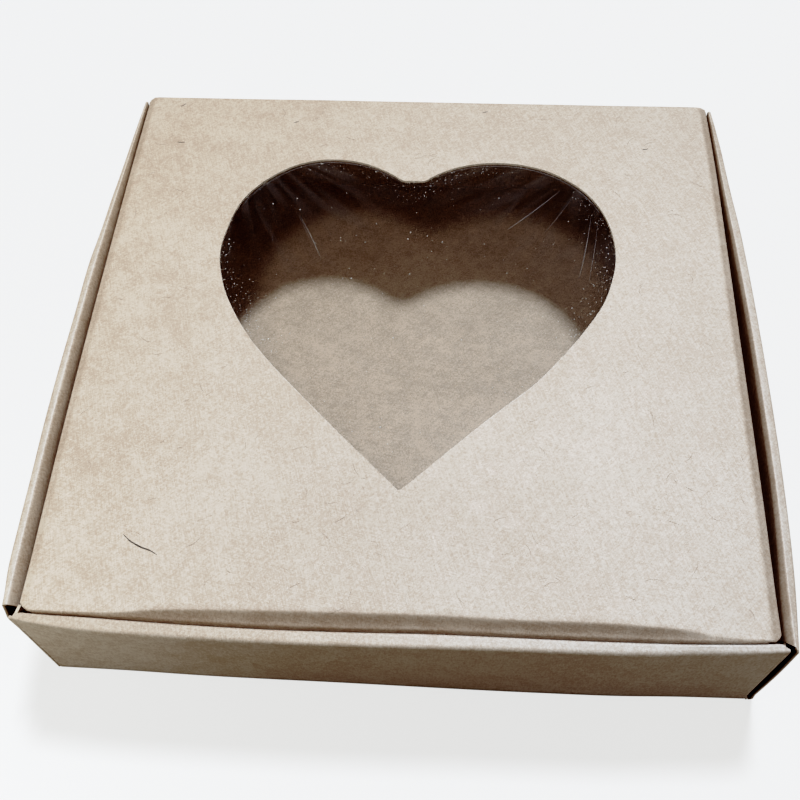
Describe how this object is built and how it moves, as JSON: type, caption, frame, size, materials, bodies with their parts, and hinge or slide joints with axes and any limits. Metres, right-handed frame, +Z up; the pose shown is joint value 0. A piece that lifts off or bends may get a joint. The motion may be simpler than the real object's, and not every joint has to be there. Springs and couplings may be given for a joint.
{
  "type": "windowed gift box",
  "caption": "Shallow square folding gift box of kraft board with rolled walls, a hinged tuck lid and a heart-shaped window closed by clear film.",
  "frame": {"origin": "middle of the underside of the base, on the surface that the box stands on", "axes": "+X to the right, +Y to the back wall that carries the lid, +Z up"},
  "size_m": [0.127, 0.1222, 0.025],
  "materials": {
    "kraft_outside": "uncoated kraft board, mottled, with fine fibres",
    "kraft_inside": "uncoated kraft board, inside face",
    "window_film": "thin clear film, glossy and slightly wrinkled"
  },
  "bodies": {
    "tray": {"base_panel": "kraft_inside", "front_wall_outer": "kraft_outside", "front_wall_ledge": "kraft_outside", "front_wall_inner": "kraft_inside", "front_ear_left": "kraft_outside", "front_ear_right": "kraft_outside", "left_wall_outer": "kraft_outside", "left_wall_ledge": "kraft_outside", "left_wall_inner": "kraft_inside", "right_wall_outer": "kraft_outside", "right_wall_ledge": "kraft_outside", "right_wall_inner": "kraft_inside", "back_wall": "kraft_outside", "back_ear_left": "kraft_outside", "back_ear_right": "kraft_outside"},
    "lid": {"lid_panel": "kraft_outside", "window_film": "window_film"},
    "tuck_flap": {"lid_tuck_flap": "kraft_outside"},
    "flap_left": {"lid_flap_left": "kraft_outside"},
    "flap_right": {"lid_flap_right": "kraft_outside"}
  },
  "joints": [
    {"name": "lid_hinge", "type": "hinge", "parent": "tray", "child": "lid", "pos_m": [0, 0.05985, 0.02477], "axis": [-1, 0, 0], "range_deg": [0, 180]},
    {"name": "tuck_crease", "type": "hinge", "parent": "lid", "child": "tuck_flap", "pos_m": [0, -0.05758, 0.0243], "axis": [1, 0, 0], "range_deg": [0, 60]},
    {"name": "flap_crease_left", "type": "hinge", "parent": "lid", "child": "flap_left", "pos_m": [-0.0587, 0, 0.0243], "axis": [0, -1, 0], "range_deg": [0, 80]},
    {"name": "flap_crease_right", "type": "hinge", "parent": "lid", "child": "flap_right", "pos_m": [0.0587, 0, 0.0243], "axis": [0, 1, 0], "range_deg": [0, 80]}
  ]
}
